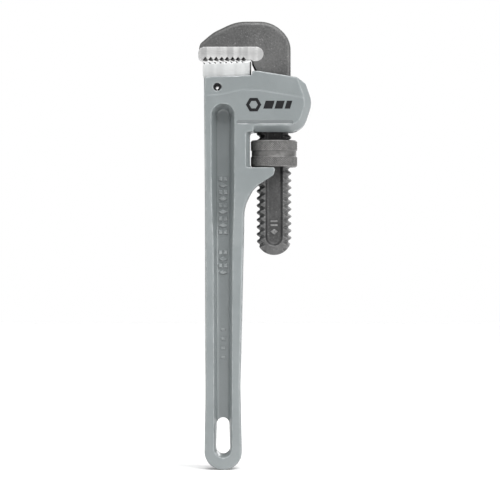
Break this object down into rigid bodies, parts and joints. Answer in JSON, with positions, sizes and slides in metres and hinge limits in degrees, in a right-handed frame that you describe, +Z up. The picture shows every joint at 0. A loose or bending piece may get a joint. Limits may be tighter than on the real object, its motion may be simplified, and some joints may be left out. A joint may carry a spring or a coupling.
{
  "type": "pipe wrench",
  "caption": "Adjustable pipe wrench with an I-section cast handle, toothed hook and heel jaws, threaded shank and knurled nut.",
  "frame": {"origin": "middle of the lower end of the handle, on the grip's centre line and in the middle of its thickness", "axes": "+Z up along the handle to the jaws, -X is the side that the jaws open to, Y is the thickness"},
  "size_m": [0.0628, 0.026, 0.2495],
  "materials": {
    "handle_paint": "satin grey paint over an aluminium casting",
    "bright_steel": "bright ground steel",
    "black_steel": "black oxide",
    "spring_steel": "oiled spring steel",
    "forged_steel": "dark phosphate over forged steel",
    "ground_steel": "ground steel",
    "nut_steel": "dark zinc or phosphate"
  },
  "bodies": {
    "handle": {"handle_body": "handle_paint", "heel_jaw": "bright_steel", "heel_jaw_pin": "black_steel", "coil_spring": "spring_steel"},
    "spring_leaf": {"flat_spring": "spring_steel", "spring_rivet": "spring_steel"},
    "hook": {"hook_jaw": "forged_steel", "hook_jaw_insert": "ground_steel"},
    "nut": {"adjusting_nut": "nut_steel"}
  },
  "joints": [
    {"name": "jaw_rock", "type": "hinge", "parent": "handle", "child": "spring_leaf", "pos_m": [0.0284, 0, 0.17595], "axis": [0, 1, 0], "range_deg": [0, 3.5], "stiffness_Nm_per_rad": 1.5, "deforming": ["coil_spring"]},
    {"name": "jaw_slide", "type": "slide", "parent": "spring_leaf", "child": "hook", "axis": [0, 0, 1], "range_m": [0, 0.048]},
    {"name": "nut_spin", "type": "hinge", "parent": "spring_leaf", "child": "nut", "pos_m": [0.0284, 0, 0.17595], "axis": [0, 0, 1], "range_deg": [-4321, 0]}
  ],
  "couplings": [
    {"joint": "nut_spin", "follows": "jaw_slide", "rad_per_m": -1570.8}
  ]
}
